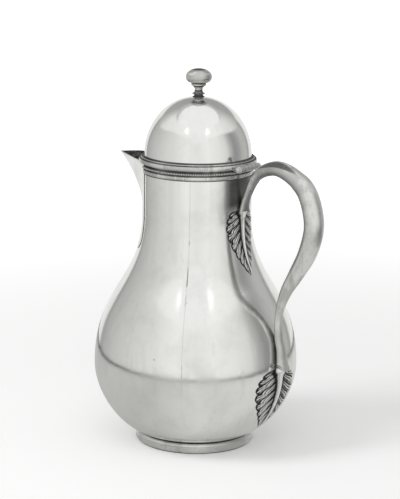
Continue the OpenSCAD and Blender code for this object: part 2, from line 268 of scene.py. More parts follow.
def feed(tree, start, node, sockets):
    """Links the tree's named inputs to a node's sockets."""
    for label, socket in sockets.items():
        tree.links.new(start.outputs[label], node.inputs[socket])


ARC_INPUTS = [("From", "NodeSocketFloat", 0.0), ("Turn", "NodeSocketFloat", math.pi)]
ARC_SOCKETS = {"From": "Start Angle", "Turn": "Sweep Angle"}
MATERIAL_INPUT = [("Material", "NodeSocketMaterial", None)]


@functools.cache
def sweep_tree(open_ring):
    """Turns the outline drawn in the object's mesh round the Z axis, or part of the way."""
    tree, start, end = new_tree("Open Ring" if open_ring else "Turned Piece", [
        ("Steps", "NodeSocketInt", 224), ("Core Radius", "NodeSocketFloat", CORE),
        *(ARC_INPUTS if open_ring else []), *MATERIAL_INPUT])
    outline = tree_node(tree, "GeometryNodeMeshToCurve")
    circle = tree_node(tree, "GeometryNodeCurveArc" if open_ring
                       else "GeometryNodeCurvePrimitiveCircle", mode="RADIUS")
    sweep = tree_node(tree, "GeometryNodeCurveToMesh", {"Fill Caps": open_ring})
    feed(tree, start, outline, {"Geometry": "Mesh"})
    feed(tree, start, circle, {"Steps": "Resolution", "Core Radius": "Radius",
                               **(ARC_SOCKETS if open_ring else {})})
    tree.links.new(circle.outputs["Curve"], sweep.inputs["Curve"])
    tree.links.new(outline.outputs["Curve"], sweep.inputs["Profile Curve"])
    finish_tree(tree, start, end, sweep.outputs["Mesh"])
    return tree


@functools.cache
def bead_tree():
    """Sets beads along a part of a circle."""
    tree, start, end = new_tree("Beaded Wire", [
        ("Beads", "NodeSocketInt", 150), ("Wire Radius", "NodeSocketFloat", 38 * MM),
        ("Bead Size", "NodeSocketFloat", 0.7 * MM), ("Height", "NodeSocketFloat", 190 * MM),
        *ARC_INPUTS, *MATERIAL_INPUT])
    arc = tree_node(tree, "GeometryNodeCurveArc", mode="RADIUS")
    ball = tree_node(tree, "GeometryNodeMeshUVSphere", {"Segments": 8, "Rings": 6})
    lift = tree_node(tree, "ShaderNodeCombineXYZ")
    move = tree_node(tree, "GeometryNodeSetPosition")
    place = tree_node(tree, "GeometryNodeInstanceOnPoints")
    soft = tree_node(tree, "GeometryNodeSetShadeSmooth")
    feed(tree, start, arc, {"Beads": "Resolution", "Wire Radius": "Radius", **ARC_SOCKETS})
    feed(tree, start, ball, {"Bead Size": "Radius"})
    feed(tree, start, lift, {"Height": "Z"})
    for source, label, node, socket in (
            (arc, "Curve", move, "Geometry"), (lift, 0, move, "Offset"),
            (ball, "Mesh", soft, "Geometry"), (move, 0, place, "Points"),
            (soft, 0, place, "Instance")):
        tree.links.new(source.outputs[label], node.inputs[socket])
    finish_tree(tree, start, end, place.outputs[0])
    return tree


def grow(name, mesh, tree, values):
    """Runs a geometry tree on a mesh and returns a plain mesh object."""
    seed = new_object(name + "_seed", mesh)
    made = seed.modifiers.new("Make", "NODES")
    made.node_group = tree
    for item in tree.interface.items_tree:
        if item.item_type == "SOCKET" and item.in_out == "INPUT" and item.name in values:
            made[item.identifier] = values[item.name]
    result = evaluated(seed)
    bpy.data.objects.remove(seed)
    result.name = name
    return new_object(name, result)


def outline_mesh(name, outline):
    """A closed outline of (radius, height) points, drawn for the turning trees."""
    points = [(r - CORE, -z, 0) for r, z in outline]
    ring = [(i, (i + 1) % len(points)) for i in range(len(points))]
    mesh = bpy.data.meshes.new(name)
    mesh.from_pydata(points, ring, [])
    return mesh


def turned(name, outline, material, sizes, gap=None):
    """A turned piece; with a gap, a ring that stops at that angle beside the beak."""
    values = {"Steps": sizes.turns, "Core Radius": CORE, "Material": material}
    if gap is not None:
        values.update({"From": gap - math.pi, "Turn": 2 * (math.pi - gap)})
    obj = grow(name, outline_mesh(name, outline), sweep_tree(gap is not None), values)
    smooth(outward(obj.data))
    return obj


def cut(obj, *cutters):
    for cutter in cutters:
        trim = obj.modifiers.new("Cut", "BOOLEAN")
        trim.operation, trim.object, trim.solver = "DIFFERENCE", cutter, "EXACT"
    result = evaluated(obj)
    obj.modifiers.clear()
    old, obj.data = obj.data, result
    bpy.data.meshes.remove(old)
    for cutter in cutters:
        bpy.data.objects.remove(cutter)
    smooth(obj.data)
    return obj


def cylinder(name, radius, start, end, steps=48):
    """A plain cylinder between two points, to cut with."""
    start, end = Vector(start), Vector(end)
    work = bmesh.new()
    bmesh.ops.create_cone(work, cap_ends=True, segments=steps, radius1=radius,
                          radius2=radius, depth=(end - start).length)
    turn = (end - start).to_track_quat("Z", "Y").to_matrix().to_4x4()
    bmesh.ops.transform(work, matrix=Matrix.Translation((start + end) / 2) @ turn,
                        verts=work.verts)
    mesh = bpy.data.meshes.new(name)
    work.to_mesh(mesh)
    work.free()
    return new_object(name, mesh)


# ---------------------------------------------------------------- silver


class Flow:
    """A value in a shader tree. Operators add the Math nodes that work it out."""

    def __init__(self, paint, socket):
        self.paint, self.socket = paint, socket

    def math(self, operation, *others):
        return self.paint.maths(operation, self, *others)

    def __add__(self, other):
        return self.math("ADD", other)

    def __sub__(self, other):
        return self.math("SUBTRACT", other)

    def __rsub__(self, other):
        return self.paint.maths("SUBTRACT", other, self)

    def __mul__(self, other):
        return self.math("MULTIPLY", other)

    def __pow__(self, other):
        return self.math("POWER", other)

    def __abs__(self):
        return self.math("ABSOLUTE")

    __radd__, __rmul__ = __add__, __mul__

    def clamped(self):
        return self.paint.maths("ADD", self, 0.0, clamp=True)

    def most(self, other):
        return self.math("MAXIMUM", other)

    def band(self, start, end):
        """0 below start, 1 above end, smooth between; the other way round if end < start."""
        span = self.paint.node("ShaderNodeMapRange", {"interpolation_type": "SMOOTHSTEP"},
                               self, min(start, end), max(start, end), 0.0, 1.0)
        return span if end > start else 1.0 - span


class Paint:
    """Builds one material, or the world."""

    def __init__(self, name, world=False):
        self.material = (bpy.data.worlds if world else bpy.data.materials).new(name)
        self.output = "ShaderNodeOutputWorld" if world else "ShaderNodeOutputMaterial"
        self.material.use_nodes = True
        self.tree = self.material.node_tree
        self.tree.nodes.clear()

    def node(self, kind, settings=None, *values, out=0, **named):
        node = self.tree.nodes.new(kind)
        for key, value in (settings or {}).items():
            if key == "stops":
                ramp = node.color_ramp.elements
                while len(ramp) < len(value):
                    ramp.new(0.5)
                for element, (place, tone) in zip(ramp, value):
                    element.position, element.color = place, tone
            else:
                setattr(node, key, value)
        for key, value in [*enumerate(values), *named.items()]:
            socket = node.inputs[key if isinstance(key, int) else key.replace("_", " ")]
            if isinstance(value, Flow):
                self.tree.links.new(value.socket, socket)
            elif value is not None:
                socket.default_value = value
        return Flow(self, node.outputs[out])

    def maths(self, operation, *values, clamp=False):
        return self.node("ShaderNodeMath", {"operation": operation, "use_clamp": clamp},
                         *values)

    def place(self, scale=(1, 1, 1), turn=(0, 0, 0)):
        """Object coordinates, scaled and turned."""
        spot = self.node("ShaderNodeTexCoord", out="Object")
        return self.node("ShaderNodeMapping", {}, Vector=spot, Scale=scale, Rotation=turn)

    def noise(self, where, scale, detail=3.0, rough=0.5):
        return self.node("ShaderNodeTexNoise", {}, Vector=where, Scale=scale,
                         Detail=detail, Roughness=rough)

    def mix(self, amount, a, b):
        """Mixes two colours; a colour is an RGB tuple or a value in the tree."""
        tint = [c if isinstance(c, Flow) else (*c, 1.0) for c in (a, b)]
        node = self.tree.nodes.new("ShaderNodeMix")
        node.data_type = "RGBA"
        for socket, value in zip((node.inputs[0], node.inputs[6], node.inputs[7]),
                                 (amount, *tint)):
            if isinstance(value, Flow):
                self.tree.links.new(value.socket, socket)
            else:
                socket.default_value = value
        return Flow(self, node.outputs[2])

    def heights(self):
        """Height and radius of the shaded point on the pot, in metres."""
        spot = self.node("ShaderNodeTexCoord", out="Object")
        split = self.tree.nodes.new("ShaderNodeSeparateXYZ")
        self.tree.links.new(spot.socket, split.inputs[0])
        x, y, z = (Flow(self, split.outputs[i]) for i in range(3))
        return z, (x * x + y * y) ** 0.5, y.math("ARCTAN2", x)

    def bump(self, height, depth, under=None):
        return self.node("ShaderNodeBump", {}, Strength=1.0, Distance=depth,
                         Height=height, Normal=under)

    def end(self, shader):
        end = self.tree.nodes.new(self.output)
        self.tree.links.new(shader.socket, end.inputs["Surface"])
        return self.material


def silver(name, look, waves=1.0, rough=0.0, film=0.25, hollow=0.0, brushed=0.0, dark=(),
           seam=None, base=0.0, shade=None):
    """Old silver. waves: hammer waves; rough: added roughness; film: cloudy grey film;
    hollow: black from the piece's own attribute, which marks black sulphide in the hollows
    and painted shade; brushed: fine lines round the pot; dark: heights with black lines,
    each (height, half width), among them painted shade in a recess, a painted contact
    shadow and a painted reflection; seam: the angle round the pot at which a soldered seam
    shows; base: film all over; shade: the heights between which the silver behind the
    handle is painted black, a painted shadow of the hinge and a painted reflection of the
    handle's stem."""
    p = Paint(name)
    here = p.place()
    z, radius, turn = p.heights()
    cloud = p.noise(here, 34.0, 4.0, 0.6)
    fine = p.noise(here, 420.0, 3.0, 0.6)
    rub_a = p.noise(p.place((1500, 90, 120), (0.3, 0.5, 0.4)), 1.0, 2.0)
    rub_b = p.noise(p.place((110, 1700, 100), (0.7, 0.2, 1.1)), 1.0, 2.0)
    scratch = rub_a.band(0.66, 0.78).most(rub_b.band(0.68, 0.8))
    pits = p.node("ShaderNodeTexVoronoi", {}, Vector=here, Scale=95.0).band(0.1, 0.05)
    pits = pits * p.noise(here, 60.0, 1.0).band(0.55, 0.66)
    streaks = p.noise(p.place((150, 150, 5)), 1.0, 3.0, 0.6)
    veil = (cloud.band(0.42, 0.72) * film + fine.band(0.5, 0.8) * (0.35 * film)
            + streaks.band(0.5, 0.7) * (0.5 * film) + base).clamped()
    colour = p.mix(veil, look.bright, look.worn)
    black = pits * 0.25
    # black from the piece's attribute: sulphide in hollows, and painted shade inside the beak,
    # on the handle's inner side and in the leaves' low ground
    if hollow:
        deep = p.node("ShaderNodeAttribute", {"attribute_name": "hollow"}, out="Fac")
        black = black.most((deep * hollow * (0.75 + 0.5 * fine)).clamped())
    for height, half in dark:
        line = abs(z - height).band(half, half * 0.35)
        black = black.most(line * (0.55 + 0.6 * cloud))
    # painted shadow of the hinge and painted reflection of the handle's stem: black on the neck
    # behind the handle
    if shade:
        near = abs(turn).band(0.5, 0.26)
        painted_shade_behind_handle = z.band(shade[0], shade[0] + 9 * MM) * near * z.band(shade[1] + MM, shade[1])
        black = black.most(painted_shade_behind_handle * (0.6 + 0.5 * cloud))
    if seam is not None:
        off = abs(turn - seam) * radius
        streak = p.noise(p.place((40, 40, 60)), 1.0, 2.0)
        black = black.most(off.band(0.6 * MM, 0.1 * MM) * z.band(0.03, 0.085)
                           * (0.13 + streak.band(0.54, 0.64) * 0.7))
    colour = p.mix(black.clamped(), colour, look.tarnish_and_shade_black)
    roughness = (look.roughness + rough + veil * 0.16 + scratch * 0.1
                 + (cloud - 0.5) * 0.08 + black * 0.35).clamped()
    big = p.noise(here, 22.0, 2.0, 0.45)
    mid = p.noise(here, 75.0, 2.0, 0.5)
    normal = p.bump(big * 0.8 + mid * 0.2, look.waves * waves)
    if brushed:
        rings = p.node("ShaderNodeCombineXYZ", {}, z * 5200.0, turn * 6.0, radius * 900.0)
        lines = p.noise(rings, 1.0, 2.0)
        normal = p.bump(lines, 0.035 * MM * brushed, normal)
        roughness = (roughness + (lines - 0.5) * 0.12).clamped()
    normal = p.bump(fine * 0.5 - scratch * 0.5 - pits * 2.0, 0.012 * MM, normal)
    return p.end(p.node("ShaderNodeBsdfPrincipled", {}, Metallic=1.0, Base_Color=colour,
                        Roughness=roughness, Normal=normal))


SILVERS = {}


def finish_silvers(look, sizes):
    rim, wire, foot = sizes.rim_z, low("beaded_wire")[2], sizes.foot_h
    band, stem, knob = (low(n)[2] for n in ("rim_band", "finial_stem", "finial_knob"))
    SILVERS.update(
        # the body's shade band is a painted shadow of the hinge and a painted reflection of the
        # handle's stem
        body=silver("Raised Silver", look, dark=[(foot, 0.5 * MM)], seam=-1.065,
                    shade=(164 * MM, band + 3 * MM)),
        # the beak's inner face is painted black: painted shade inside the beak
        beak=silver("Beak Silver", look, rough=0.04, film=0.4, hollow=0.95),
        dome=silver("Dome Silver", look, waves=0.8, film=0.2,
                    dark=[(low("lid_dome")[2], 0.9 * MM)]),
        # the black line along the foot's bottom edge is a painted contact shadow
        foot=silver("Foot Silver", look, waves=0.4, brushed=1.0, film=1.0, seam=-1.0, base=0.25,
                    dark=[(foot, 0.6 * MM), (0.0, 0.9 * MM)]),
        # the black line 1.5 mm below the rim, in the recess between the lid's flange and the
        # wire, is painted shade
        rim=silver("Rim Silver", look, waves=0.5, brushed=0.5, rough=0.03, film=2.2, base=0.35,
                   dark=[(rim - 1.5 * MM, 1.2 * MM), (wire - 0.5 * MM, 0.8 * MM),
                         (rim + 2.9 * MM, 0.5 * MM), (rim + 4.1 * MM, 0.6 * MM),
                         (band + 0.2 * MM, 0.8 * MM)]),
        wire=silver("Wire Silver", look, waves=0.1, rough=0.05, base=0.5,
                    dark=[(wire, 0.3 * MM)]),
        cast=silver("Cast Silver", look, waves=0.6, rough=0.12, film=1.3, hollow=0.9, base=0.3),
        # the leaves' black low ground is partly tarnish and partly painted shade
        leaf=silver("Chased Silver", look, waves=0.1, rough=0.05, film=0.05, hollow=1.6),
        # the black patch on the crown of the knob is a painted reflection of the dark ceiling
        turned=silver("Turned Silver", look, waves=0.6, rough=0.02, film=1.9, base=0.1,
                      dark=[(stem - 0.7 * MM, 0.5 * MM), (stem, 0.9 * MM),
                            (stem + 2.5 * MM, 0.4 * MM), (knob, 0.5 * MM),
                            (knob - 2.1 * MM, 0.7 * MM), (high("finial_knob")[2], 1.1 * MM),
                            (stem + 3.6 * MM, 0.9 * MM)]),
        filed=silver("Filed Silver", look, waves=0.2, rough=0.14, film=0.9, base=0.9))


# ---------------------------------------------------------------- pieces


def keep(obj, body, slot, *nodes):
    """Ties a finished piece to its body and hides the solids it stands for."""
    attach(obj, body)
    if nodes:
        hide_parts(*nodes)
    return obj


def paint_over(obj, material):
    obj.data.materials.clear()
    obj.data.materials.append(material)
    return obj


def lofted(name, rings, points, silver, slot, node, sharp=35, hollow=None):
    """A piece of the pot lofted through rings of points."""
    mesh = mesh_from(name, points, loft_faces(rings, len(points) // rings))
    if hollow is not None:
        attribute(mesh, "hollow", hollow)
    obj = new_object(name, smooth(outward(mesh), sharp))
    paint_over(obj, SILVERS[silver])
    keep(obj, BODY, slot, node)


class Maker(bpy.types.Operator):
    """Common ground of the piece makers."""
    bl_options = {"REGISTER", "UNDO"}

    def execute(self, context):
        self.make(context.scene.pot_sizes)
        return {"FINISHED"}


class POT_OT_body(Maker):
    """Raise the pear-shaped body and cut the opening behind the beak"""
    bl_idname = "pot.body"
    bl_label = "Body"

    def make(self, s):
        outer = np.concatenate([[(POLE, s.foot_h)], body_curves(s)])
        inner = np.concatenate([[(POLE, s.foot_h + s.wall)], body_curves(s, s.wall)])
        body = turned("body", np.concatenate([outer, inner[::-1]]), SILVERS["body"], s)
        # the opening behind the beak, a rectangle with round corners
        corner, half, tall = 9 * MM, 21 * MM, 38 * MM
        foot = s.beak_z + 11 * MM
        spots = [(y * (half - corner), foot + z) for y, z in
                 ((-1, corner), (1, corner), (1, tall - corner), (-1, tall - corner))]
        steps = 10
        edge = []
        for k, (y, z) in enumerate(spots):
            for i in range(steps + 1):
                a = math.pi * (1 + k / 2 + i / steps / 2)
                edge.append((y + corner * math.cos(a), z + corner * math.sin(a)))
        points = [(x, y, z) for x in (-s.neck_r - 5 * MM, -s.neck_r + 16 * MM)
                  for y, z in edge]
        mesh = outward(mesh_from("port", points, loft_faces(2, len(edge))))
        cut(body, new_object("port", mesh))
        paint_over(body, SILVERS["body"])
        keep(body, BODY, "silver_body", "body_shell")


class POT_OT_foot(Maker):
    """Turn the ring foot with its two bands"""
    bl_idname = "pot.foot"
    bl_label = "Foot"

    def make(self, s):
        h, r = s.foot_h, s.foot_r
        out = r + 0.9 * MM
        outline = np.concatenate([
            [(r - 2.4 * MM, 0), (r - 0.7 * MM, 0), (r - 0.6 * MM, 0.55 * MM)],
            bezier([(r - 0.4 * MM, 0.6 * MM), (r + 0.5 * MM, 0.7 * MM), (out, h * 0.3),
                    (out, h * 0.5)], 10, 1),
            [(out, h * 0.62), (out - 0.35 * MM, h * 0.66)],
            bezier([(out - 0.35 * MM, h * 0.66), (out - 0.3 * MM, h * 0.85),
                    (s.bottom_r + 0.6 * MM, h * 0.93), (s.bottom_r, h)], 10, 1),
            [(r - 2.4 * MM, h)]])
        foot = turned("foot", outline, SILVERS["foot"], s)
        keep(foot, BODY, "silver_body", "foot_ring")


class POT_OT_rim(Maker):
    """Turn the neck's band and set the beads on its wire"""
    bl_idname = "pot.rim"
    bl_label = "Rim"

    def make(self, s):
        gap = s.beak_side + math.radians(0.4)
        base, top = low("rim_band")[2], s.rim_z
        wire = (low("beaded_wire")[2] + high("beaded_wire")[2]) / 2
        wire_r = 0.7 * MM
        neck, step = s.neck_r, s.neck_r + 0.8 * MM
        band = s.neck_r + 1.2 * MM
        groove = wire - 1.25 * MM
        mid = (base + 0.6 * MM + groove) / 2
        outline = np.concatenate([
            [(neck, base), (neck + 0.45 * MM, base), (neck + 0.5 * MM, base + 0.35 * MM)],
            bezier([(neck + 0.5 * MM, base + 0.5 * MM), (band, base + 0.5 * MM),
                    (band + 0.1 * MM, mid), (band - 0.1 * MM, mid + 0.5 * MM)], 8),
            bezier([(band - 0.25 * MM, mid + 0.65 * MM), (band + 0.1 * MM, mid + 0.9 * MM),
                    (band, groove - 0.3 * MM), (step, groove)], 8),
            [(step, wire + 1.1 * MM), (step - 0.2 * MM, wire + 1.3 * MM),
             (step - 0.2 * MM, top - 0.35 * MM), (step - 0.5 * MM, top), (neck, top)]])
        ring = turned("neck_band", outline, SILVERS["rim"], s, gap)
        keep(ring, BODY, "silver_body", "rim_band")
        centre = step + 0.35 * MM
        around = [(centre + wire_r * 0.8 * math.cos(a), wire + wire_r * 0.8 * math.sin(a))
                  for a in np.linspace(0, 2 * math.pi, 12, endpoint=False)]
        core = turned("wire_core", around, SILVERS["cast"], s, gap)
        # the wire's core is black all over and shows between the beads
        attribute(core.data, "hollow", [1.0] * len(core.data.vertices))
        turn = 2 * (math.pi - gap)
        beads = grow("wire_beads", bpy.data.meshes.new("beads"), bead_tree(), {
            "Beads": int(turn * centre / s.bead_pitch), "Wire Radius": centre,
            "Bead Size": wire_r, "Height": wire, "From": gap - math.pi, "Turn": turn,
            "Material": SILVERS["wire"]})
        keep(core, BODY, "silver_wire", "beaded_wire")
        keep(beads, BODY, "silver_wire")


class POT_OT_beak(Maker):
    """Fold the sheet of the beak round the neck"""
    bl_idname = "pot.beak"
    bl_label = "Beak"

    def make(self, s):
        levels, across, corner = 90, 80, 7 * MM
        rings, shade = [], []
        for i in range(levels + 1):
            t = i / levels
            z = s.beak_z + (s.rim_z - s.beak_z) * t
            r = float(body_radius(s, z)) + 0.1 * MM + s.edge_t
            reach = s.beak_reach - s.neck_r - 0.3 * MM - s.edge_t
            keel = r + 0.2 * MM + reach * (0.62 * t + 0.38 * t ** 4)
            u = 1 - min(1, (z - s.beak_z) / corner)
            side = s.beak_side - (1 - math.sqrt(1 - u * u)) * corner / s.neck_r
            touch = math.acos(r / keel)
            rows = ([], [])
            for j in range(across + 1):
                a = -side + 2 * side * j / across
                free = max(0, touch - math.sqrt(a * a + math.radians(0.775) ** 2))
                full = min(1, free / math.radians(20)) ** 1.5
                thick = s.edge_t + (s.beak_t - s.edge_t) * full
                wobble = 0.25 * MM * full * t ** 6 * (1 - abs(2 * j / across - 1))
                for row, d in zip(rows, (r, r - thick)):
                    d = d / math.cos(free)
                    row.append((-d * math.cos(a), d * math.sin(a),
                                z - wobble * (1 + math.sin(37 * a))))
            rings.append(rows[0] + rows[1][::-1])
            # the inner face of the sheet is marked for painted shade
            shade.append([0.0] * (across + 1) + [1.0] * (across + 1))
        points = [p for ring in rings for p in ring]
        lofted("beak", levels + 1, points, "beak", "silver_body", "spout", 40,
               np.array(shade).ravel())


def spline(stations, steps):
    """A smooth run through given stations."""
    p = np.array(stations, float)
    run = []
    for i in range(len(p) - 1):
        a, b, c, d = p[max(i - 1, 0)], p[i], p[i + 1], p[min(i + 2, len(p) - 1)]
        for k in range(steps):
            t = k / steps
            run.append(0.5 * (2 * b + (c - a) * t + (2 * a - 5 * b + 4 * c - d) * t * t
                              + (3 * b - a - 3 * c + d) * t ** 3))
    return np.array(run + [p[-1]])


def handle_stations(s):
    """Middle line of the handle: x, height, thickness and width, from the neck down."""
    grip_x, grip_z, grip_t, grip_w = 95.8, 164.5, 13.6, 14.2
    top, stem = 204.0, 5.4

    def on(z, t):
        return float(body_radius(s, z * MM)) / MM + 0.1 + t / 2
    return [
        (on(167, 4.6), 167, 4.6, 10), (on(176, stem) + 1.1, 176, stem, 6.6),
        (49.6, 192.2, 7.6, 8), (64.6, top - 5.2, 10.4, 13.6),
        (grip_x - 16.8, top - 9.3, grip_t - 1.4, grip_w),
        (grip_x - 5.4, grip_z + 19.8, grip_t - 0.2, grip_w),
        (grip_x, grip_z, grip_t, grip_w),
        (grip_x - 4.4, grip_z - 19.2, grip_t - 0.8, grip_w - 0.8),
        (grip_x - 13.6, grip_z - 36, grip_t - 3.2, grip_w - 3),
        (74.6, 115.5, 8, 8.6), (69.8, 101, stem + 0.2, 5.8),
        (on(84, stem) + 0.55, 84, stem, 6.6), (on(75, stem + 0.3) + 0.3, 75, stem + 0.3, 8),
        (on(66, 6.2), 66, 6.2, 11.2)]


class POT_OT_handle(Maker):
    """Cast the looped handle with the sunk panel on its shoulder"""
    bl_idname = "pot.handle"
    bl_label = "Handle"

    def make(self, s):
        around, steps = 96, 14
        panel_from, panel_to, panel_turn = 1.9, 4.35, -0.6  # in stations; side facing out
        brow_high = 0.022  # of the three soft edges along the handle
        path = spline(handle_stations(s), steps)
        last = len(path) - 1
        points, hollow = [], []
        for i, (x, z, t, w) in enumerate(path):
            a, b = path[max(i - 1, 0)], path[min(i + 1, last)]
            along = np.array([b[0] - a[0], b[1] - a[1]])
            along /= np.linalg.norm(along)
            if i in (0, last):
                along = np.array([0, 1.0 if b[1] > a[1] else -1.0])
            run = i / steps
            panel = 0.0
            if panel_from < run < panel_to:
                u = (run - panel_from) / (panel_to - panel_from)
                panel = 0.9 * min(1, 3.2 * u) * (1 - max(0, (u - 0.45) / 0.55) ** 1.3)
            flat = math.radians(64) * min(1, max(0, (2.6 - run) / 1.6))
            for j in range(around):
                turn = math.remainder(2 * math.pi * j / around, 2 * math.pi)
                share, dip = 1.0, 0.0
                if panel > 0:
                    off = abs(turn - panel_turn)
                    edge = panel * math.radians(44)
                    dip = min(1, max(0, (edge - off) / math.radians(9)))
                    dip = dip * dip * (3 - 2 * dip)
                    share -= 0.17 * dip * min(1, 2 * panel)
                    share += 0.05 * math.exp(-((off - edge) / math.radians(7)) ** 2) * panel
                    share -= 0.045
                if flat > 0.02:
                    side = abs(abs(turn) - math.pi / 2)
                    share *= 1 - 0.05 * max(0, 1 - side / flat)
                brow = 1 + brow_high * math.cos(3 * (abs(turn) - math.radians(62)))
                share *= brow / (1 + brow_high)
                u, v = t / 2 * math.cos(turn) * share, w / 2 * math.sin(turn) * share
                points.append(((x - along[1] * u) * MM, v * MM, (z + along[0] * u) * MM))
                # the inner side, towards the body, is painted shade; the black in the sunk panel
                # is tarnish
                inner = min(1, max(0, (abs(turn) - 1.75) / 0.6))  # towards the body
                hollow.append(max(0.8 * dip * min(1, 2 * panel), 0.55 * inner))
        lofted("handle", len(path), points, "cast", "silver_cast", "handle_loop", 28, hollow)
        self.hood(s)

    def hood(self, s):
        """The hood from which the lower leaf grows, with two chased arcs on it."""
        around, rings = 72, 40
        top, tall = 66.0, 4.38
        points, hollow = [], []
        for i in range(rings + 1):
            f = i / rings
            z = top - tall * f
            t = 6.25 + 0.9 * f
            w = 11.3 + 2.6 * f ** 1.4
            r = float(body_radius(s, z * MM)) / MM + 0.1 + t / 2
            for j in range(around):
                turn = 2 * math.pi * j / around
                arc = f - 0.35 - 0.3 * math.cos(2 * turn)
                groove = max(math.exp(-(arc / 0.09) ** 2),
                             math.exp(-((arc - 0.3) / 0.09) ** 2)) * abs(math.sin(turn)) ** 2
                t_in, w_in = t - 0.8 * groove, w - 1.2 * groove
                points.append(((r + t_in / 2 * math.cos(turn)) * MM,
                               w_in / 2 * math.sin(turn) * MM, z * MM))
                hollow.append(groove)
        lofted("hood", rings + 1, points, "cast", "silver_cast", "leaf_collar", 60, hollow)


def leaf_mesh(name, s, top, tall, wide, head, head_t, rise):
    """An acanthus leaf on the body: lobes with fine flutes on both sides of a rib."""
    rows, cols, lean = 220, 150, 0.36
    # v runs across from edge to edge, f down from head to tip, q is 0 on the rib
    v = np.linspace(-1, 1, cols + 1)[None, :]
    f = np.linspace(0, 1, rows + 1)[:, None]
    q = np.abs(v)
    side = np.where(v < 0, 0.0, 2.1)
    drift = 0.05 * np.sin(7 * f + side) + 0.012 * np.sin(31 * f + 9 * q + side)
    phase = (f * (1 + lean) - lean * q ** 0.75 + drift * q) * s.lobes + 0.25
    inside = phase - np.floor(phase)
    notch = np.exp(-(np.minimum(inside, 1 - inside) / 0.075) ** 2)
    edge_phase = (f * (1 + lean) - lean + 0.05 * np.sin(7 * f + side)) * s.lobes + 0.25
    edge_in = edge_phase - np.floor(edge_phase)
    # outline: a bulge for each lobe with small teeth on it
    lobe_out = np.sin(np.pi * edge_in) ** 0.45
    small = np.abs(np.sin(np.pi * 4 * edge_in)) ** 0.5
    t = f ** 0.9
    envelope = (head / 2) * (1 - t) + (wide / 2 - head / 4) * np.sin(np.pi * t ** 0.72) ** 0.85
    half = np.maximum(0.5 * MM, envelope * (0.82 + 0.14 * lobe_out + 0.04 * small))
    # relief: fluted lobes that round over at the edge, and the rib in its trench
    puff = np.sqrt(np.clip(1 - (np.clip(q - 0.8, 0, 1) / 0.2) ** 2, 0, 1))
    swell = 0.3 + 0.7 * np.sin(np.pi * inside) ** 0.7
    flutes = np.abs(np.sin(np.pi * (3 * inside + 0.3 * np.sin(5 * q + side)))) ** 1.2
    body = (0.22 + 0.6 * q * (1.25 - 0.6 * q)) * swell * (0.12 + 0.88 * flutes)
    body = body * (1 - 0.85 * notch * np.clip(q * 1.6, 0, 1))
    rib_w = 0.13 - 0.04 * f + 0.42 * np.exp(-f / 0.06)
    rib = np.clip(1 - (q / rib_w) ** 2, 0, 1) ** 0.5
    rib = rib * (1 - 0.3 * np.exp(-((q - 0.5 * rib_w) / (0.16 * rib_w)) ** 2))
    trench = np.exp(-((q - rib_w * 1.25) / (0.4 * rib_w)) ** 2)
    height = body * puff * (1 - 0.85 * trench)
    fall = 1 - 0.42 * f
    lift = (0.1 + 0.9 * np.maximum(height, rib * 0.95)) * rise * fall
    lift = lift + np.maximum(0, head_t - rise) * np.clip(1 - 6 * f, 0, 1) ** 2 * rib
    lift = lift * np.clip((1 - f) * 14, 0.3, 1)
    z = top - tall * f + 0 * v
    radius = body_radius(s, z.ravel()).reshape(z.shape)
    turn = half * v / radius
    out = radius + lift
    back = radius + 0.1 * MM
    front = np.stack([out * np.cos(turn), out * np.sin(turn), z], -1)
    rear = np.stack([back * np.cos(turn), back * np.sin(turn), z], -1)
    points = np.concatenate([front.reshape(-1, 3), rear.reshape(-1, 3)])
    n, w = (rows + 1) * (cols + 1), cols + 1
    faces = []
    for i in range(rows):
        for a in range(i * w, i * w + cols):
            faces.append((a, a + 1, a + w + 1, a + w))
            faces.append((n + a, n + a + w, n + a + w + 1, n + a + 1))
        for a in (i * w, i * w + cols):
            faces.append((a, a + w, n + a + w, n + a))
    for a in (*range(cols), *range(rows * w, rows * w + cols)):
        faces.append((a, a + 1, n + a + 1, n + a))
    # black for the material, partly tarnish and partly painted shade: low ground, notches,
    # flutes and the trench
    depth = np.clip(1.1 - 2.6 * height, 0, 1) * (1 - np.clip(rib * 1.3, 0, 1))
    depth = np.maximum(depth, np.clip(notch * q * 1.3, 0, 1))
    depth = np.maximum(depth, 0.95 * (1 - flutes) ** 1.6 * (rib < 0.2))
    depth = np.maximum(depth, 0.9 * trench * (rib < 0.2))
    values = np.concatenate([depth.ravel(), depth.ravel()])
    mesh = bpy.data.meshes.new(name)
    mesh.from_pydata(points.tolist(), [], faces)
    attribute(mesh, "hollow", values)
    return smooth(outward(mesh), 80)


class POT_OT_leaves(Maker):
    """Chase the two acanthus leaves"""
    bl_idname = "pot.leaves"
    bl_label = "Leaves"

    def make(self, s):
        rise = 3 * MM
        for name, node, wide, head, head_t in (
                ("leaf_upper", "upper_leaf", 26 * MM, 16 * MM, 4.6 * MM),
                ("leaf_lower", "lower_leaf", 42 * MM, 14 * MM, 6 * MM)):
            top, base = high(node)[2], low(node)[2]
            mesh = leaf_mesh(name, s, top, top - base, wide, head, head_t, rise)
            leaf = new_object(name, mesh)
            paint_over(leaf, SILVERS["leaf"])
            keep(leaf, BODY, "silver_leaf", node)


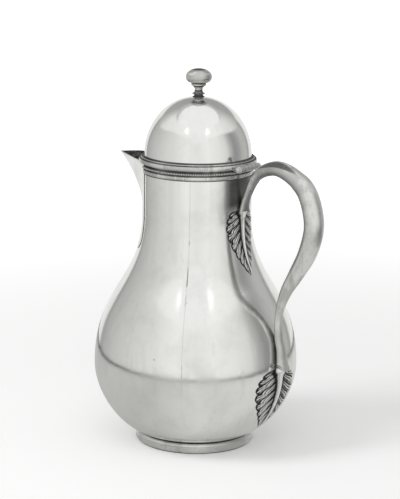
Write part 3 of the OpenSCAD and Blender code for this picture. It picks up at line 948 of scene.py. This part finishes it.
class POT_OT_hinge(Maker):
    """Finish the hinge's plates and pin and cut the ornaments at its ends"""
    bl_idname = "pot.hinge"
    bl_label = "Hinge"

    def make(self, s):
        for node in ("hinge_body_plate", "hinge_pin", "hinge_lid_plate"):
            paint_over(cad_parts[node], SILVERS["filed"])
        box_low, box_high = low("hinge_end_caps"), high("hinge_end_caps")
        inner = high("hinge_pin")[1]
        radius = (box_high[2] - box_low[2]) / 2
        tall = box_high[1] - inner
        profile = [(0.0, 0), (1.0, 0), (1.0, 0.14), (0.72, 0.26), (0.8, 0.4), (0.95, 0.52),
                   (0.9, 0.68), (0.6, 0.86), (0.3, 0.96), (0.02, 1.0)]
        around = 60
        points, faces = [], []
        for side in (-1, 1):
            start = len(points)
            for share, along in profile:
                for j in range(around):
                    a = 2 * math.pi * j / around
                    cut_in = 1 - 0.16 * (0.5 + 0.5 * math.cos(
                        9 * a + side * 16 * abs(along - 0.5))) * (0.3 < along < 0.9)
                    r = max(share * radius * cut_in, 0.01 * MM)
                    points.append((s.hinge_x + r * math.cos(a),
                                   side * (inner + tall * along), s.rim_z + r * math.sin(a)))
            faces += [tuple(start + k for k in face)
                      for face in loft_faces(len(profile), around)]
        caps = new_object("hinge_caps", smooth(outward(mesh_from("hinge_caps", points, faces))))
        paint_over(caps, SILVERS["filed"])
        keep(caps, BODY, "silver_hinge", "hinge_end_caps")


class POT_OT_lid(Maker):
    """Raise the dome and turn its flange and bezel"""
    bl_idname = "pot.lid"
    bl_label = "Lid"

    def make(self, s):
        z, top = s.rim_z, low("lid_dome")[2]
        e, edge = s.flange_r, s.rim_z + 2.8 * MM
        inside = s.neck_r - s.wall - 0.65 * MM - 1 * MM
        outline = np.concatenate([
            [(inside, z), (e - 0.4 * MM, z)],
            bezier([(e - 0.4 * MM, z), (e + 0.02 * MM, z + 0.1 * MM), (e, z + 0.6 * MM),
                    (e, z + 1.4 * MM)], 6, 1),
            bezier([(e, z + 1.4 * MM), (e, edge - 0.4 * MM), (e - 0.3 * MM, edge),
                    (e - 0.8 * MM, edge)], 6, 1),
            [(e - 1.5 * MM, edge + 0.05 * MM)],
            bezier([(e - 1.6 * MM, edge + 0.2 * MM), (e - 1.6 * MM, top),
                    (e - 2.4 * MM, top), (s.dome_r + 0.5 * MM, top)], 6),
            [(s.dome_r - 0.2 * MM, top), (inside, top)]])
        flange = turned("flange", outline, SILVERS["rim"], s)
        knuckle = 2.8 * MM
        row = high("hinge_pin")[1]
        width, pitch = (2 * row - 4 * 0.3 * MM) / 5, (2 * row + 0.3 * MM) / 5
        cutters = []
        for i in (0, 2, 4):
            start = i * pitch - row
            cutters.append(cylinder("notch", knuckle, (s.hinge_x, start - 0.3 * MM, z),
                                    (s.hinge_x, start + width + 0.3 * MM, z)))
        for side in (-1, 1):
            cutters.append(cylinder("notch", knuckle, (s.hinge_x, side * (row - 0.1 * MM), z),
                                    (s.hinge_x, side * (row + 4.2 * MM), z)))
        cut(flange, *cutters)
        paint_over(flange, SILVERS["rim"])
        keep(flange, LID, "silver_lid", "lid_flange")
        tall = high("lid_dome")[2] - top
        k = 0.56

        def shell(inset):
            return bezier([(s.dome_r - inset, top), (s.dome_r - inset, top + k * tall),
                           (k * s.dome_r, top + tall - inset), (BORE, top + tall - inset)],
                          110)
        dome = turned("dome", np.concatenate([shell(0), shell(s.dome_wall)[::-1]]),
                      SILVERS["dome"], s)
        keep(dome, LID, "silver_lid", "lid_dome")
        depth = z - low("lid_bezel")[2]
        r = high("lid_bezel")[1]
        bezel = turned("bezel", [(r - 0.9 * MM, z - depth), (r - 0.3 * MM, z - depth),
                                     (r, z - depth + 0.6 * MM), (r, z), (r - 0.9 * MM, z)],
                       SILVERS["dome"], s)
        keep(bezel, LID, "silver_lid", "lid_bezel")


class POT_OT_finial(Maker):
    """Turn the finial: base ring, stem and flattened knob"""
    bl_idname = "pot.finial"
    bl_label = "Finial"

    def make(self, s):
        base_top = low("finial_stem")[2]
        base_r = high("finial_base")[1]
        low_z = base_top - 0.75 * MM
        base = turned("base_ring", [
            (BORE, low_z), (base_r - 0.3 * MM, low_z), (base_r, low_z + 0.2 * MM),
            (base_r - 0.05 * MM, base_top - 0.2 * MM), (base_r - 0.5 * MM, base_top),
            (BORE, base_top)], SILVERS["turned"], s)
        z, h = base_top, high("finial_stem")[2] - base_top
        stem_line = np.concatenate([
            [(BORE, z), (3.1 * MM, z), (3.0 * MM, z + 0.5 * MM), (3.3 * MM, z + 1.0 * MM),
             (4.1 * MM, z + 1.35 * MM), (4.75 * MM, z + 1.75 * MM), (4.1 * MM, z + 2.1 * MM)],
            bezier([(3.2 * MM, z + 2.4 * MM), (2.4 * MM, z + 3.4 * MM),
                    (2.4 * MM, z + 5.6 * MM), (4.2 * MM, z + h - 2 * MM)], 14),
            bezier([(4.6 * MM, z + h - 1.7 * MM), (5.4 * MM, z + h - 1.5 * MM),
                    (5.4 * MM, z + h - 0.5 * MM), (4.6 * MM, z + h)], 8),
            [(BORE, z + h)]])
        stem = turned("stem", stem_line, SILVERS["turned"], s)
        z, top = low("finial_knob")[2], high("finial_knob")[2]
        r = high("finial_knob")[1]
        h = top - z
        mid = z + 0.42 * h
        knob_line = np.concatenate([
            bezier([(4.6 * MM, z), (7.6 * MM, z + 0.3 * MM), (r, mid - 2.2 * MM), (r, mid)], 22),
            bezier([(r, mid), (r, mid + 3.4 * MM), (r * 0.6, top), (POLE, top)], 34, 1),
            [(POLE, z)]])
        knob = turned("knob", knob_line, SILVERS["turned"], s)
        for piece, node in ((base, "finial_base"), (stem, "finial_stem"), (knob, "finial_knob")):
            keep(piece, LID, "silver_finial", node)
        for node in ("finial_stud", "finial_washer", "finial_nut"):
            paint_over(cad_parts[node], SILVERS["filed"])


# ---------------------------------------------------------------- stage


def card(name, points, faces, glow, p=None):
    """A card that only the silver's reflections show; glow is a level or a shader value."""
    mesh = bpy.data.meshes.new(name)
    mesh.from_pydata([tuple(p) for p in points], [], faces)
    obj = new_object(name, mesh)
    p = p or Paint(name)
    graded_glow = isinstance(glow, Flow)
    mesh.materials.append(p.end(p.node(
        "ShaderNodeEmission", {}, Color=glow if graded_glow else None,
        Strength=1.0 if graded_glow else glow)))
    obj.visible_camera = obj.visible_shadow = obj.visible_diffuse = False
    return mesh


def graded(p, stops):
    """Grey levels by angle from the camera's side, in degrees, leftwards negative."""
    around = p.node("ShaderNodeAttribute", {"attribute_name": "around"}, out="Fac")
    ramp = [((turn + 180) / 360, (tone, tone, tone * 0.99, 1)) for turn, tone in stops]
    return p.node("ShaderNodeValToRGB", {"stops": ramp}, around)


def surround(spot, radius, low_z, top_z):
    """The studio's walls, brightest behind the camera; their dark bands beside the handle are a
    painted reflection of the handle's stem and a painted shadow of the hinge.
    """
    p = Paint("Surround")
    high = p.node("ShaderNodeAttribute", {"attribute_name": "high"}, out="Fac")
    left = ((-180, 0.88), (-143, 0.88), (-139, 0.3), (-132, 0.46), (-105, 0.58), (-75, 0.7),
            (-50, 0.8))
    # the dark stops from about 49 to 104 degrees are a painted reflection of the handle's stem
    # and a painted shadow of the hinge
    walls = graded(p, left + ((-24, 0.94), (0, 0.86), (22, 0.94), (46, 0.86), (64, 0.74),
                              (76, 0.46), (86, 0.3), (98, 0.36), (112, 0.5), (128, 0.5),
                              (136, 0.3), (141, 0.84), (180, 0.88)))
    beside = graded(p, left + ((-24, 0.92), (0, 0.86), (22, 0.94), (44, 0.8), (49, 0.16),
                               (60, 0.12), (66, 0.4), (80, 0.1), (97, 0.08), (104, 0.4),
                               (122, 0.5), (136, 0.84), (180, 0.88)))
    ceiling = graded(p, ((-180, 0.36), (-138, 0.42), (-122, 0.62), (-110, 0.84), (-50, 0.93),
                         (-20, 0.98), (20, 0.98), (60, 0.92), (100, 0.78), (120, 0.6),
                         (138, 0.42), (180, 0.36)))
    edge = graded(p, ((-180, 0.5), (-119, 0.525), (-68, 0.69), (-25, 0.667), (25, 0.667),
                      (60, 0.68), (94, 0.586), (119, 0.525), (180, 0.5)))
    lower = p.mix(high.band(0.16, 0.195), beside, walls)
    glow = p.mix((high - edge).band(-0.012, 0.02), lower, ceiling)
    turns, levels = np.radians(np.arange(-180, 181, 2.0)), np.linspace(low_z, top_z, 9)
    points = [spot(radius * math.sin(a), -radius * math.cos(a), z)
              for z in levels for a in turns]
    n = len(turns)
    faces = [(r * n + i, r * n + i + 1, (r + 1) * n + i + 1, (r + 1) * n + i)
             for r in range(len(levels) - 1) for i in range(n - 1)]
    mesh = card("Surround", points, faces, glow, p)
    attribute(mesh, "around", np.tile(np.linspace(0, 1, n), len(levels)))
    attribute(mesh, "high", np.repeat(np.linspace(0, 1, len(levels)), n))


def flat_card(name, place, toward, size, sides, glow):
    """A flat card with an even number of sides, facing a point."""
    turn = (Vector(toward) - Vector(place)).to_track_quat("-Z", "Y").to_matrix().to_4x4()
    move = Matrix.Translation(place) @ turn
    points = [move @ Vector((size[0] * math.cos(a), size[1] * math.sin(a), 0))
              for a in (math.tau * (k + 0.5) / sides for k in range(sides))]
    card(name, points, [tuple(range(sides))], glow)


def softbox(name, size, place, toward, power, turned=0.0, seen=True):
    data = bpy.data.lights.new(name, "AREA")
    data.shape, data.size, data.size_y = "RECTANGLE", size[0], size[1]
    data.energy = power
    lamp = bpy.data.objects.new(name, data)
    bpy.context.scene.collection.objects.link(lamp)
    turn = (Vector(toward) - Vector(place)).to_track_quat("-Z", "Y").to_matrix().to_4x4()
    lamp.matrix_world = Matrix.Translation(place) @ turn @ Matrix.Rotation(turned, 4, "Z")
    lamp.visible_glossy = seen


class POT_OT_stage(bpy.types.Operator):
    """Set the floor, the studio lights and the camera"""
    bl_idname = "pot.stage"
    bl_label = "Stage"

    def execute(self, context):
        st = context.scene.pot_stage
        az = st.azimuth
        right = Vector((math.cos(az), math.sin(az), 0))
        back = Vector((-math.sin(az), math.cos(az), 0))

        def spot(x, y, z):
            return right * x + back * y + Vector((0, 0, z))
        data = bpy.data.cameras.new("Camera")
        data.sensor_width, data.lens = 36.0, st.focal / MM
        data.clip_start, data.clip_end = 0.01, 50
        camera = bpy.data.objects.new("Camera", data)
        context.scene.collection.objects.link(camera)
        look = (Matrix.Rotation(az, 4, "Z") @ Matrix.Rotation(math.pi / 2 - st.pitch, 4, "X")
                @ Matrix.Rotation(st.roll, 4, "Z"))
        camera.matrix_world = Matrix.Translation(spot(st.shift, -st.distance, st.height)) @ look
        context.scene.camera = camera
        self.floor(context)
        self.world(context)
        surround(spot, radius=1.9, low_z=-0.9, top_z=2.7)
        for name, x, z, size, glow in (("Marker", -0.01, 0.012, (0.075, 0.012), 1.0),
                                       ("Marker Base", -0.01, -0.012, (0.11, 0.012), 0.2)):
            flat_card(name, spot(x, -0.43, z), spot(x, 0, z), size, 4, glow)
        key = spot(-0.05, -0.92, 1.32)
        aim = spot(0, 0, 0.1)
        near = aim + (key - aim) * 0.985
        flat_card("Octagon", near, aim, (0.52, 0.74), 8, 0.93)
        flat_card("Ceiling", spot(0, -0.7, 2.69), spot(0, -0.7, 0), (1.9, 2.05), 24, 0.95)
        softbox("Key Light", (0.94, 0.94), key, aim, 3.0, math.pi / 4)
        softbox("Left Light", (0.6, 0.6), spot(-1.1, -0.5, 1.3), spot(0, 0, 0.1), 9, seen=False)
        return {"FINISHED"}

    def floor(self, context):
        st = context.scene.pot_stage
        work = bmesh.new()
        bmesh.ops.create_circle(work, cap_ends=True, radius=6.0, segments=96)
        mesh = bpy.data.meshes.new("floor")
        work.to_mesh(mesh)
        work.free()
        floor = new_object("floor", mesh)
        p = Paint("White Floor")
        seen, mirrored = (p.node("ShaderNodeLightPath", out=label)
                          for label in ("Is Camera Ray", "Is Glossy Ray"))
        _, radius, turn = p.heights()
        rim = radius.band(st.table - 0.06, st.table - 0.05)
        left = (turn - st.azimuth - math.pi).math("COSINE").band(-0.2, 0.9)
        lift = p.mix(left, (0.3, 0.3, 0.295), (0.12, 0.12, 0.118))
        tone, lift = (p.mix(rim, level, (0.02, 0.02, 0.02))
                      for level in ((0.5, 0.5, 0.495), lift))
        far = p.mix(radius.band(0.2, 1.3), (0.18, 0.18, 0.178), (0.72, 0.72, 0.72))
        tone, lift = p.mix(seen, tone, (0.9, 0.9, 0.9)), p.mix(seen, lift, far)
        paper = p.node("ShaderNodeBsdfPrincipled", {}, Base_Color=tone, Emission_Color=lift,
                       Roughness=1.0, Specular_IOR_Level=0.0, Emission_Strength=1.0)
        gone = mirrored * radius.band(st.table, st.table + 2 * MM)
        clear = p.node("ShaderNodeBsdfTransparent")
        floor.data.materials.append(
            p.end(p.node("ShaderNodeMixShader", {}, gone, paper, clear)))

    def world(self, context):
        """Grey round the pot, white where the camera looks past it."""
        p = Paint("Studio", world=True)
        seen = p.node("ShaderNodeLightPath", out="Is Camera Ray")
        grey, white = (p.node("ShaderNodeBackground", {}, Color=level)
                       for level in ((0.55, 0.555, 0.55, 1), (1, 1, 1, 1)))
        context.scene.world = p.end(p.node("ShaderNodeMixShader", {}, seen, grey, white))
        context.scene.view_settings.view_transform = "Standard"


STEPS = (POT_OT_body, POT_OT_foot, POT_OT_rim, POT_OT_beak, POT_OT_handle, POT_OT_leaves,
         POT_OT_hinge, POT_OT_lid, POT_OT_finial, POT_OT_stage)


class POT_PT_panel(bpy.types.Panel):
    """The pot's pieces and settings in the sidebar"""
    bl_label = "Chocolate Pot"
    bl_space_type = "VIEW_3D"
    bl_region_type = "UI"
    bl_category = "Pot"

    def draw(self, context):
        for group in (context.scene.pot_sizes, context.scene.pot_silver,
                      context.scene.pot_stage):
            box = self.layout.box()
            for key in group.__annotations__:
                box.prop(group, key)
        for step in STEPS:
            self.layout.operator(step.bl_idname)


GROUPS = {"pot_sizes": PotSizes, "pot_silver": SilverLook, "pot_stage": StageSettings}


def register():
    for kind in (*GROUPS.values(), *STEPS, POT_PT_panel):
        bpy.utils.register_class(kind)
    for key, kind in GROUPS.items():
        setattr(bpy.types.Scene, key, bpy.props.PointerProperty(type=kind))


def unregister():
    for key in GROUPS:
        delattr(bpy.types.Scene, key)
    for kind in (POT_PT_panel, *reversed(STEPS), *GROUPS.values()):
        bpy.utils.unregister_class(kind)


def main():
    register()
    scene = bpy.context.scene
    finish_silvers(scene.pot_silver, scene.pot_sizes)
    for step in STEPS:
        group, name = step.bl_idname.split(".")
        getattr(getattr(bpy.ops, group), name)()


if __name__ == "__main__":
    main()
